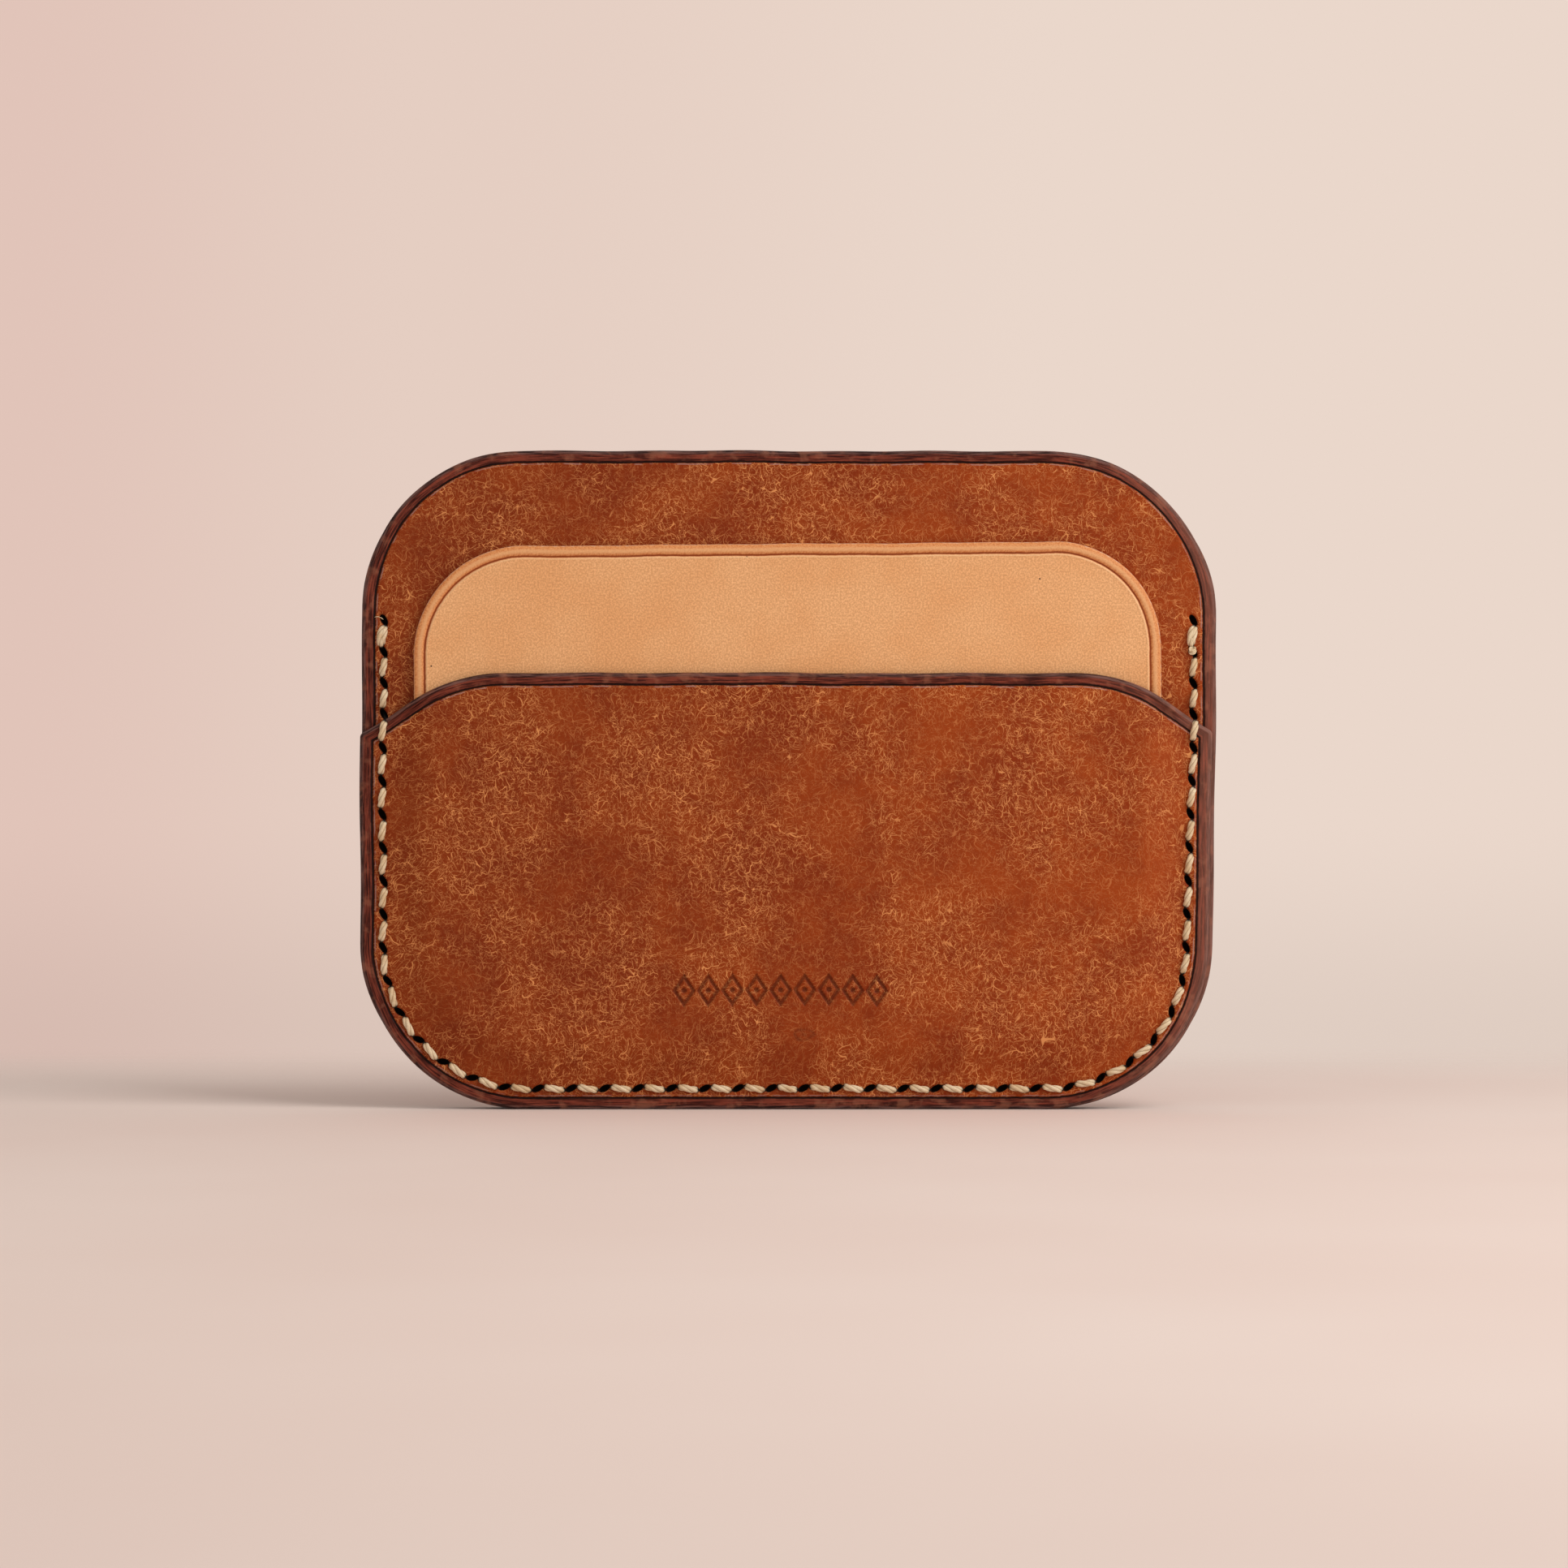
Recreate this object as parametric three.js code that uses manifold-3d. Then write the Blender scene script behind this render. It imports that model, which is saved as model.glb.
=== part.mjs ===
// Hand-stitched leather card holder, in millimetres.
// X runs across the holder, Y from its front to its back, and Z up.
// It stands on its bottom edge at Z 0, and the origin is at the middle of that footprint.
//
// From front to back it is made of a front pocket, a loose divider that slides in that pocket,
// a middle panel and a rear panel. One waxed thread, saddle stitched down one side, along the
// bottom and up the other side, holds the three fixed layers together. The middle and rear
// panels are open at the top, so they make a second pocket between them.

import * as THREE from "three";
import { mergeVertices } from "three/addons/utils/BufferGeometryUtils.js";
import Module from "manifold-3d";

// Overall outline, shared by the three fixed layers
const HOLDER_WIDTH = 101;
const HOLDER_HEIGHT = 78.3;
const HOLDER_CORNER = 18.1;

// Leather, and the gaps between its layers
const LEATHER = 1.2;
const DIVIDER_LEATHER = 1.2;
const GLUE_GAP = 0.1;
const REAR_POCKET_GAP = 0.3;
const SLIDE_GAP = 0.2;

// Mouth of the front pocket: flat in the middle, then an arc and a straight slope at each side.
// The pocket and the divider step down from the holder's top edge, each by its own drop.
const MOUTH_DROP = 26.5;
const SHOULDER_INSET = 16.5;
const SHOULDER_RADIUS = 18;
const SHOULDER_TURN = THREE.MathUtils.degToRad(33);

// Divider: its margin is measured from the holder's edge at the sides and the bottom
const DIVIDER_MARGIN = 6.15;
const DIVIDER_DROP = 11.1;
const DIVIDER_CORNER = 11.5;
const DIVIDER_SIDE_GAP = 0.35;

// Seam: slanted slits, and the thread that passes through them
const SEAM_INSET = 2.5;
const STITCH_PITCH = 3.95;
const FIRST_SLIT_ABOVE_MOUTH = 0.75;
const SEAM_RISE = 11.2; // how much further the seam runs up the panels at each side
const SEAM_MARGIN = 0.7;
const SLIT_LENGTH = 1.3;
const SLIT_WIDTH = 0.6;
const SLIT_SLANT = THREE.MathUtils.degToRad(45);
const THREAD = 0.85;
const THREAD_GAP = 0.1;
const THREAD_IN_SLIT = 0.68; // the thread's share of the slit that it is drawn through
const STITCH_LEAN = 0.2; // how far each end of a stitch sits off the seam line
const STITCH_TUCK = 0.1; // how far from its slit's middle a stitch ends

// Fineness of the round shapes
const CORNER_STEPS = 12;
const SHOULDER_STEPS = 8;
const SIDE_STEPS = 3;
const RAMP_STEPS = 4;
const THREAD_SIDES = 6;
const WELD = 1e-4;

const MOUTH_HEIGHT = HOLDER_HEIGHT - MOUTH_DROP;
const DIVIDER_TOP = HOLDER_HEIGHT - DIVIDER_DROP;

// The layers' front faces, counted from the front face of the middle panel
const POCKET_AT_SEAM = -GLUE_GAP - LEATHER;
const POCKET_AT_DIVIDER = -DIVIDER_LEATHER - 2 * SLIDE_GAP - LEATHER;
const DIVIDER_FRONT = -SLIDE_GAP - DIVIDER_LEATHER;
const REAR_FRONT = LEATHER + REAR_POCKET_GAP;
const REAR_BACK = REAR_FRONT + LEATHER;

// The thread lies on the outermost faces, a hair clear of the leather
const THREAD_STAND_OFF = THREAD_GAP + THREAD / 2;
const FRONT_THREAD_ON_POCKET = POCKET_AT_SEAM - THREAD_STAND_OFF;
const FRONT_THREAD_ON_PANEL = -THREAD_STAND_OFF;
const REAR_THREAD = REAR_BACK + THREAD_STAND_OFF;
const THREAD_REACH = (THREAD / 2) * Math.cos(Math.PI / THREAD_SIDES);
const FOREMOST = Math.min(POCKET_AT_DIVIDER, FRONT_THREAD_ON_POCKET - THREAD_REACH);
const REARMOST = REAR_THREAD + THREAD_REACH;

const wasm = await Module();
wasm.setup();

function toSolid(geometry) {
  geometry.deleteAttribute("normal");
  geometry.deleteAttribute("uv");
  const merged = mergeVertices(geometry, WELD);
  const vertProperties = merged.attributes.position.array;
  const triVerts = new Uint32Array(merged.index.array);
  return new wasm.Manifold(new wasm.Mesh({ numProp: 3, vertProperties, triVerts }));
}

function toMesh(name, solid, material) {
  const made = solid.getMesh();
  const geometry = new THREE.BufferGeometry();
  geometry.setAttribute("position", new THREE.BufferAttribute(made.vertProperties, 3));
  geometry.setIndex(new THREE.BufferAttribute(made.triVerts, 1));
  geometry.computeVertexNormals();
  const mesh = new THREE.Mesh(geometry, material);
  mesh.name = name;
  return mesh;
}

// Half of the holder's outline, drawn in from its edge by an inset: from the middle of the
// bottom edge, round the lower corner, up the side, round the upper corner to the top's middle
function halfOutline(inset) {
  const corner = HOLDER_CORNER - inset;
  const cornerX = HOLDER_WIDTH / 2 - HOLDER_CORNER;
  const upperZ = HOLDER_HEIGHT - HOLDER_CORNER;
  const path = new THREE.Path();
  path.moveTo(0, inset);
  path.lineTo(cornerX, inset);
  path.absarc(cornerX, HOLDER_CORNER, corner, -Math.PI / 2, 0, false);
  path.lineTo(HOLDER_WIDTH / 2 - inset, upperZ);
  path.absarc(cornerX, upperZ, corner, 0, Math.PI / 2, false);
  path.lineTo(0, HOLDER_HEIGHT - inset);
  return path;
}

// A place on a half outline, a distance along it from the bottom's middle, to the right of the
// middle or, for a negative distance, to the left. Its angle is that of travel to the right.
function placeOn(path, distance) {
  const share = Math.abs(distance) / path.getLength();
  const side = distance < 0 ? -1 : 1;
  const point = path.getPoint(share);
  const travel = path.getTangent(share);
  return { x: side * point.x, z: point.y, angle: side * Math.atan2(travel.y, travel.x) };
}

// Height of the front pocket's mouth across the holder
function mouthHeight(x) {
  const beyondFlat = Math.abs(x) - (HOLDER_WIDTH / 2 - SHOULDER_INSET);
  const arcRun = SHOULDER_RADIUS * Math.sin(SHOULDER_TURN);
  if (beyondFlat <= 0) return MOUTH_HEIGHT;
  if (beyondFlat < arcRun) {
    const rise = Math.sqrt(SHOULDER_RADIUS ** 2 - beyondFlat ** 2);
    return MOUTH_HEIGHT - SHOULDER_RADIUS + rise;
  }
  const arcDrop = SHOULDER_RADIUS * (1 - Math.cos(SHOULDER_TURN));
  return MOUTH_HEIGHT - arcDrop - (beyondFlat - arcRun) * Math.tan(SHOULDER_TURN);
}

// Distance along a half outline at which it climbs through the mouth's edge
function distanceToMouth(path) {
  let below = 0;
  let above = path.getLength();
  while (above - below > WELD) {
    const middle = (below + above) / 2;
    const place = placeOn(path, middle);
    if (place.z < mouthHeight(place.x)) below = middle;
    else above = middle;
  }
  return below;
}

// The places of the slits, from the upper left of the seam round to its upper right. The slits
// below the mouth and the few above it are each spaced to come out even, near the pitch.
function slitPlaces() {
  const line = halfOutline(SEAM_INSET);
  const reach = distanceToMouth(line) + FIRST_SLIT_ABOVE_MOUTH;
  const stitches = Math.round((2 * reach) / STITCH_PITCH);
  const stitchesAbove = Math.round(SEAM_RISE / STITCH_PITCH);
  const risers = [];
  for (let i = 1; i <= stitchesAbove; i++) {
    risers.push(reach + (i * SEAM_RISE) / stitchesAbove);
  }
  const distances = risers.map((distance) => -distance).reverse();
  for (let i = 0; i <= stitches; i++) {
    distances.push(THREE.MathUtils.lerp(-reach, reach, i / stitches));
  }
  distances.push(...risers);
  return distances.map((distance) => {
    const throughPocket = Math.abs(distance) < reach - WELD;
    return { ...placeOn(line, distance), throughPocket };
  });
}

// A prism with the diamond section of the awl that cut a slit, from one depth to another
function slitPrism(place, share, front, back) {
  const geometry = new THREE.CylinderGeometry(1, 1, back - front, 4);
  geometry.scale((share * SLIT_LENGTH) / 2, 1, (share * SLIT_WIDTH) / 2);
  geometry.rotateY(-place.angle - SLIT_SLANT);
  geometry.translate(place.x, (front + back) / 2, place.z);
  return toSolid(geometry);
}

function cutSlits(solid, places, front, back) {
  const overshoot = 1;
  let cut = solid;
  for (const place of places) {
    cut = cut.subtract(slitPrism(place, 1, front - overshoot, back + overshoot));
  }
  return cut;
}

function flatSheet(shape, front, thickness) {
  const options = { depth: thickness, bevelEnabled: false, curveSegments: CORNER_STEPS };
  const geometry = new THREE.ExtrudeGeometry(shape, options);
  geometry.rotateX(Math.PI / 2);
  geometry.translate(0, front + thickness, 0);
  return toSolid(geometry);
}

function roundedShape(halfWidth, bottom, top, lowerCorner, upperCorner) {
  const shape = new THREE.Shape();
  const quarter = Math.PI / 2;
  const lowerX = halfWidth - lowerCorner;
  const upperX = halfWidth - upperCorner;
  shape.moveTo(-lowerX, bottom);
  shape.lineTo(lowerX, bottom);
  shape.absarc(lowerX, bottom + lowerCorner, lowerCorner, -quarter, 0, false);
  shape.lineTo(halfWidth, top - upperCorner);
  shape.absarc(upperX, top - upperCorner, upperCorner, 0, quarter, false);
  shape.lineTo(-upperX, top);
  shape.absarc(-upperX, top - upperCorner, upperCorner, quarter, 2 * quarter, false);
  shape.lineTo(-halfWidth, bottom + lowerCorner);
  shape.absarc(-lowerX, bottom + lowerCorner, lowerCorner, 2 * quarter, 3 * quarter, false);
  return shape;
}

// Middle and rear panels: the holder's whole outline, slit along the seam
function panel(slits, front) {
  const half = HOLDER_WIDTH / 2;
  const shape = roundedShape(half, 0, HOLDER_HEIGHT, HOLDER_CORNER, HOLDER_CORNER);
  return cutSlits(flatSheet(shape, front, LEATHER), slits, front, front + LEATHER);
}

// Divider: follows the pocket's inside at the sides and bottom, with its own upper corners
function divider() {
  const half = HOLDER_WIDTH / 2 - DIVIDER_MARGIN;
  const lowerCorner = HOLDER_CORNER - DIVIDER_MARGIN;
  const shape = roundedShape(half, DIVIDER_MARGIN, DIVIDER_TOP, lowerCorner, DIVIDER_CORNER);
  return flatSheet(shape, DIVIDER_FRONT, DIVIDER_LEATHER);
}

// One row of points of the front pocket, at an inset from the holder's edge: from the mouth
// at the left, down and round to the mouth at the right
function pocketRow(inset, front) {
  const line = halfOutline(inset);
  const cornerStart = HOLDER_WIDTH / 2 - HOLDER_CORNER;
  const cornerEnd = cornerStart + ((HOLDER_CORNER - inset) * Math.PI) / 2;
  const mouth = distanceToMouth(line);
  const distances = [];
  for (let i = 0; i <= CORNER_STEPS; i++) {
    distances.push(THREE.MathUtils.lerp(cornerStart, cornerEnd, i / CORNER_STEPS));
  }
  for (let i = 1; i <= SIDE_STEPS; i++) {
    distances.push(THREE.MathUtils.lerp(cornerEnd, mouth, i / SIDE_STEPS));
  }
  const leftward = distances.map((distance) => -distance).reverse();
  return [...leftward, ...distances].map((distance) => {
    const place = placeOn(line, distance);
    return { x: place.x, y: front, z: place.z };
  });
}

// The mouth's edge between the two ends of the innermost row, from right to left
function mouthPoints(innerHalfWidth, front) {
  const flatEnd = HOLDER_WIDTH / 2 - SHOULDER_INSET;
  const rightward = [];
  for (let i = 0; i <= SHOULDER_STEPS; i++) {
    const turned = (SHOULDER_TURN * i) / SHOULDER_STEPS;
    const x = flatEnd + SHOULDER_RADIUS * Math.sin(turned);
    if (x < innerHalfWidth - WELD) rightward.push(x);
  }
  const across = [...rightward].reverse().concat(rightward.map((x) => -x));
  return across.map((x) => ({ x, y: front, z: mouthHeight(x) }));
}

// A sheet of even thickness over a net of triangles that face the front, closed by a wall
// along every edge that only one triangle uses
function sheetOverNet(points, triangles, thickness) {
  const behind = points.length;
  const fronts = points.flatMap((point) => [point.x, point.y, point.z]);
  const backs = points.flatMap((point) => [point.x, point.y + thickness, point.z]);
  const index = [];
  const edges = new Set();
  for (const [a, b, c] of triangles) {
    index.push(a, b, c, a + behind, c + behind, b + behind);
    edges.add(`${a} ${b}`).add(`${b} ${c}`).add(`${c} ${a}`);
  }
  for (const edge of edges) {
    const [from, to] = edge.split(" ").map(Number);
    if (edges.has(`${to} ${from}`)) continue;
    index.push(from, from + behind, to + behind, from, to + behind, to);
  }
  const geometry = new THREE.BufferGeometry();
  geometry.setAttribute("position", new THREE.Float32BufferAttribute([...fronts, ...backs], 3));
  geometry.setIndex(index);
  return toSolid(geometry);
}

// Front pocket: flat on the middle panel along the seam, then bowed forward over the divider
function frontPocket(slits) {
  const rampStart = SEAM_INSET + SEAM_MARGIN;
  const rampEnd = DIVIDER_MARGIN - DIVIDER_SIDE_GAP;
  const rows = [pocketRow(0, POCKET_AT_SEAM)];
  for (let i = 0; i <= RAMP_STEPS; i++) {
    const share = i / RAMP_STEPS;
    const inset = THREE.MathUtils.lerp(rampStart, rampEnd, share);
    const rise = THREE.MathUtils.smoothstep(share, 0, 1);
    const front = THREE.MathUtils.lerp(POCKET_AT_SEAM, POCKET_AT_DIVIDER, rise);
    rows.push(pocketRow(inset, front));
  }

  const rowLength = rows[0].length;
  const triangles = [];
  for (let row = 0; row + 1 < rows.length; row++) {
    for (let i = 0; i + 1 < rowLength; i++) {
      const outer = row * rowLength + i;
      const inner = outer + rowLength;
      triangles.push([outer, outer + 1, inner + 1], [outer, inner + 1, inner]);
    }
  }

  const innermost = rows.at(-1);
  const mouth = mouthPoints(innermost.at(-1).x, POCKET_AT_DIVIDER);
  const face = [...innermost, ...mouth].map((point) => new THREE.Vector2(point.x, point.z));
  const faceStart = (rows.length - 1) * rowLength;
  for (const [a, b, c] of THREE.ShapeUtils.triangulateShape(face, [])) {
    const turnsLeft = THREE.ShapeUtils.area([face[a], face[b], face[c]]) > 0;
    const corners = turnsLeft ? [a, b, c] : [a, c, b];
    triangles.push(corners.map((corner) => corner + faceStart));
  }

  const sheet = sheetOverNet([...rows.flat(), ...mouth], triangles, LEATHER);
  const through = slits.filter((place) => place.throughPocket);
  return cutSlits(sheet, through, POCKET_AT_SEAM, POCKET_AT_SEAM + LEATHER);
}

// One stitch: a stout bar from just past one slit to just short of the next, leaning across
// the seam line because each end is pulled to its own end of the slanted slits
function stitch(from, to, depth, lean) {
  const start = new THREE.Vector3(from.x, depth, from.z);
  const end = new THREE.Vector3(to.x, depth, to.z);
  const along = end.clone().sub(start).normalize();
  const towardsBack = new THREE.Vector3(0, 1, 0);
  const inward = towardsBack.clone().cross(along).negate();
  start.addScaledVector(along, STITCH_TUCK).addScaledVector(inward, lean);
  end.addScaledVector(along, -STITCH_TUCK).addScaledVector(inward, -lean);

  const length = start.distanceTo(end);
  const radius = THREAD / 2;
  const halfSide = Math.PI / THREAD_SIDES;
  const bar = new THREE.CylinderGeometry(radius, radius, length, THREAD_SIDES, 1, false, halfSide);
  const direction = end.clone().sub(start).normalize();
  const across = direction.clone().cross(towardsBack);
  const turned = new THREE.Matrix4().makeBasis(across, direction, towardsBack);
  turned.setPosition(start.add(end).multiplyScalar(0.5));
  bar.applyMatrix4(turned);
  return toSolid(bar);
}

// The thread: a row of stitches on the front, a row on the back, and the lengths that pass
// through the slits and join them. It stays at the pocket's level where it crosses the mouth.
function seamThread(slits) {
  const onPocket = (place) => place.throughPocket;
  let thread = null;
  const join = (solid) => {
    thread = thread ? thread.add(solid) : solid;
  };
  slits.forEach((place, i) => {
    const before = slits[i - 1];
    const after = slits[i + 1];
    const besidePocket = [before, place, after].some((near) => near && onPocket(near));
    const front = besidePocket ? FRONT_THREAD_ON_POCKET : FRONT_THREAD_ON_PANEL;
    join(slitPrism(place, THREAD_IN_SLIT, front, REAR_THREAD));
    if (!after) return;
    const crossesPocket = onPocket(place) || onPocket(after);
    const depth = crossesPocket ? FRONT_THREAD_ON_POCKET : FRONT_THREAD_ON_PANEL;
    join(stitch(place, after, depth, STITCH_LEAN));
    join(stitch(place, after, REAR_THREAD, -STITCH_LEAN));
  });
  return thread;
}

const tanLeather = new THREE.MeshStandardMaterial({
  color: 0x974826,
  roughness: 0.6,
  metalness: 0,
});
const naturalLeather = new THREE.MeshStandardMaterial({
  color: 0xdfa06b,
  roughness: 0.65,
  metalness: 0,
});
const linenThread = new THREE.MeshStandardMaterial({
  color: 0xd7be96,
  roughness: 0.7,
  metalness: 0,
});

const slits = slitPlaces();
const group = new THREE.Group();
group.position.y = -(FOREMOST + REARMOST) / 2;
group.add(toMesh("front_pocket", frontPocket(slits), tanLeather));
group.add(toMesh("divider", divider(), naturalLeather));
group.add(toMesh("middle_panel", panel(slits, 0), tanLeather.clone()));
group.add(toMesh("rear_panel", panel(slits, REAR_FRONT), tanLeather.clone()));
group.add(toMesh("seam_thread", seamThread(slits), linenThread));

export default group;
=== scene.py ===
"""A hand-stitched leather card holder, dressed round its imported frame, standing on a pale table."""

import math

import bpy
import numpy as np
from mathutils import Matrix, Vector, geometry


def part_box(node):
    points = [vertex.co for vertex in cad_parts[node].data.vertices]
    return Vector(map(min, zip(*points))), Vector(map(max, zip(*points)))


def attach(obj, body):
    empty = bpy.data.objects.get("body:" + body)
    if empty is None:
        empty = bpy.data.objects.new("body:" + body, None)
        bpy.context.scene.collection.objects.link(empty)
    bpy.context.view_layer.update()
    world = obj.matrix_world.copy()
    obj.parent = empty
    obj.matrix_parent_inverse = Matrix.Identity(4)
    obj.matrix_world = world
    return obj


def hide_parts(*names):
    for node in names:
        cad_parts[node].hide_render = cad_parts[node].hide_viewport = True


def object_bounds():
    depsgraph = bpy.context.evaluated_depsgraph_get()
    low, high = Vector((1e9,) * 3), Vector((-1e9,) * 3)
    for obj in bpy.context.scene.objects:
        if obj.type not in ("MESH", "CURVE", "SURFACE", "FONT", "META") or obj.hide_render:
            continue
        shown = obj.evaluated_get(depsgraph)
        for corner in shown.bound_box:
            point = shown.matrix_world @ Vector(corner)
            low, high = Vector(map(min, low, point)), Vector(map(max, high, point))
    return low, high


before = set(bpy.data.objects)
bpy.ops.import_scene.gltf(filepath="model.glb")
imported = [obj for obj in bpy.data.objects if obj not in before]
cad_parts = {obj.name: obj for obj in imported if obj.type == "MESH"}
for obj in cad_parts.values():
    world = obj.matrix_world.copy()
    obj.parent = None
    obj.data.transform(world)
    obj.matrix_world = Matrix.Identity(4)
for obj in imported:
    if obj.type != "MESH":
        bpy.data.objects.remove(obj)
cad_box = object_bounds()

# ---------------------------------------------------------------------------------------------
# Camera, table and lights. The holder is seen straight on, at half its height, through a long
# lens. The table is matt paper that fades into the same pale wall; a large soft lamp stands
# high at the front right, so that the shadow falls low to the left.

MM = 0.001
LENS = 100.0
SENSOR = 36.0
VIEW_WIDTH = 185.4 * MM
VIEW_CENTRE = Vector((-0.43 * MM, 0.0, 38.6 * MM))
TABLE_RADIUS = 900 * MM
LAMP_AIM = Vector((0, 0, 35 * MM))

camera_data = bpy.data.cameras.new("camera")
camera_data.lens = LENS
camera_data.sensor_width = SENSOR
camera_data.clip_start = 0.01
camera_data.clip_end = 20.0
camera = bpy.data.objects.new("camera", camera_data)
distance = VIEW_WIDTH * LENS / SENSOR
camera.location = (VIEW_CENTRE.x, cad_box[0].y - distance, VIEW_CENTRE.z)
camera.rotation_euler = (math.radians(90), 0, 0)
bpy.context.scene.collection.objects.link(camera)
bpy.context.scene.camera = camera
bpy.context.scene.view_settings.view_transform = "Standard"


def adder(tree):
    """A function that adds a node to a node tree, with its inputs linked or set."""

    def add(kind, inputs=(), **settings):
        node = tree.nodes.new(kind)
        for key, value in settings.items():
            setattr(node, key, value)
        for socket, value in dict(inputs).items():
            if isinstance(value, bpy.types.NodeSocket):
                tree.links.new(value, node.inputs[socket])
            else:
                node.inputs[socket].default_value = value
        return node

    return add


def new_material(name):
    """An empty node material: its node tree, a Principled shader and a function that adds nodes."""
    material = bpy.data.materials.new(name)
    material.use_nodes = True
    tree = material.node_tree
    tree.nodes.clear()
    add = adder(tree)
    shader = add("ShaderNodeBsdfPrincipled")
    add("ShaderNodeOutputMaterial", {"Surface": shader.outputs["BSDF"]})
    return material, tree, shader, add


def colour(hex_text):
    """A linear colour from the usual six-digit screen colour."""
    screen = [int(hex_text[i : i + 2], 16) / 255 for i in (0, 2, 4)]
    linear = [c / 12.92 if c <= 0.04045 else ((c + 0.055) / 1.055) ** 2.4 for c in screen]
    return (*linear, 1.0)


def run_of_colours(add, value, stops, interpolation="LINEAR"):
    """Colours that follow each other along a value; each stop is a place and a colour."""
    node = add("ShaderNodeValToRGB", {"Fac": value})
    node.color_ramp.interpolation = interpolation
    elements = node.color_ramp.elements
    for i, (position, shade) in enumerate(stops):
        element = elements[i] if i < 2 else elements.new(position)
        element.position = position
        element.color = colour(shade)
    return node.outputs["Color"]


def make_table():
    """The table top: a disc whose paper fades out towards its rim, and sooner behind."""
    steps = 96
    turns = [2 * math.pi * i / steps for i in range(steps)]
    rim = [(TABLE_RADIUS * math.cos(t), TABLE_RADIUS * math.sin(t), 0.0) for t in turns]
    faces = [(0, i + 1, (i + 1) % steps + 1) for i in range(steps)]
    mesh = bpy.data.meshes.new("table")
    mesh.from_pydata([(0, 0, 0), *rim], [], faces)
    table = bpy.data.objects.new("table", mesh)
    bpy.context.scene.collection.objects.link(table)
    material, tree, shader, add = new_material("table_paper")
    place = add("ShaderNodeTexCoord").outputs["Object"]
    grain = add("ShaderNodeTexNoise", {"Vector": place, "Scale": 9.0, "Detail": 3.0})
    tint = run_of_colours(add, grain.outputs["Fac"], [(0.3, "EAD8D0"), (0.75, "EFE1DA")])
    tree.links.new(tint, shader.inputs["Base Color"])
    shader.inputs["Roughness"].default_value = 0.9
    shader.inputs["Specular IOR Level"].default_value = 0.2
    axes = add("ShaderNodeSeparateXYZ", {"Vector": place})
    behind = add("ShaderNodeMath", {0: axes.outputs["Y"], 1: 4.6}, operation="MULTIPLY")
    outward = add("ShaderNodeVectorMath", {0: place}, operation="LENGTH").outputs["Value"]
    reach = add("ShaderNodeMath", {0: behind.outputs[0], 1: outward}, operation="MAXIMUM")
    fade = add("ShaderNodeMapRange",
               {"Value": reach.outputs[0], "From Min": 0.16, "From Max": 0.60,
                "To Min": 1.0, "To Max": 0.0},
               interpolation_type="SMOOTHERSTEP")
    tree.links.new(fade.outputs["Result"], shader.inputs["Alpha"])
    table.data.materials.append(material)


def make_wall():
    """The wall behind and all round: the world's own pale colour, painted darker towards the left and
    low down as painted shade, and the light that it gives.
    """
    world = bpy.data.worlds.new("studio")
    world.use_nodes = True
    bpy.context.scene.world = world
    world.node_tree.nodes.clear()
    add = adder(world.node_tree)
    way = add("ShaderNodeTexCoord").outputs["Generated"]
    stretch = add("ShaderNodeMapping", {"Vector": way, "Location": (0.53, 0.0, 0.0),
                                        "Scale": (3.0, 0.0, 1.0)})
    drift = add("ShaderNodeSeparateXYZ", {"Vector": stretch.outputs["Vector"]})
    # Painted shade: the wall seen behind is coloured darker towards the left, away from the lamps.
    shades = run_of_colours(add, drift.outputs["X"],
                            [(0.0, "E1C4B9"), (0.3, "E5CEC2"), (0.75, "EAD7CB")], "EASE")
    # Painted shade: the wall seen behind is dimmed a little towards the bottom.
    lower_wall_shade = add("ShaderNodeMapRange",
                   {"Value": drift.outputs["Z"], "From Min": -0.060, "From Max": -0.005,
                    "To Min": 0.90, "To Max": 1.0},
                   interpolation_type="SMOOTHSTEP")
    seen = add("ShaderNodeBackground", {"Color": shades, "Strength": lower_wall_shade.outputs["Result"]})
    given = add("ShaderNodeBackground", {"Color": colour("F6EAE2"), "Strength": 0.57})
    ray = add("ShaderNodeLightPath")
    mix = add("ShaderNodeMixShader", {"Fac": ray.outputs["Is Camera Ray"],
                                      1: given.outputs["Background"],
                                      2: seen.outputs["Background"]})
    add("ShaderNodeOutputWorld", {"Surface": mix.outputs["Shader"]})


def add_lamp(name, place, size, power, tint):
    """A square soft lamp at a place, turned to the holder."""
    light = bpy.data.lights.new(name, "AREA")
    light.size = size
    light.energy = power
    light.color = tint
    lamp = bpy.data.objects.new(name, light)
    lamp.location = place
    lamp.rotation_euler = (LAMP_AIM - Vector(place)).to_track_quat("-Z", "Y").to_euler()
    bpy.context.scene.collection.objects.link(lamp)


make_table()
make_wall()
add_lamp("key_lamp", (0.29, -0.23, 0.55), 0.30, 0.95, (1.0, 0.96, 0.92))
add_lamp("side_lamp", (0.40, -0.28, 0.32), 0.40, 1.25, (1.0, 0.97, 0.94))

# ---------------------------------------------------------------------------------------------
# Rear panel. A rounded sheet of waxy vegetable-tanned leather, 1.2 mm thick, cut by hand. Its
# edge is bevelled, dyed dark and burnished round, a hot creaser has drawn a line inside the
# edge, and slanted slits are pricked along the seam. Its grain side faces the back.

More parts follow.
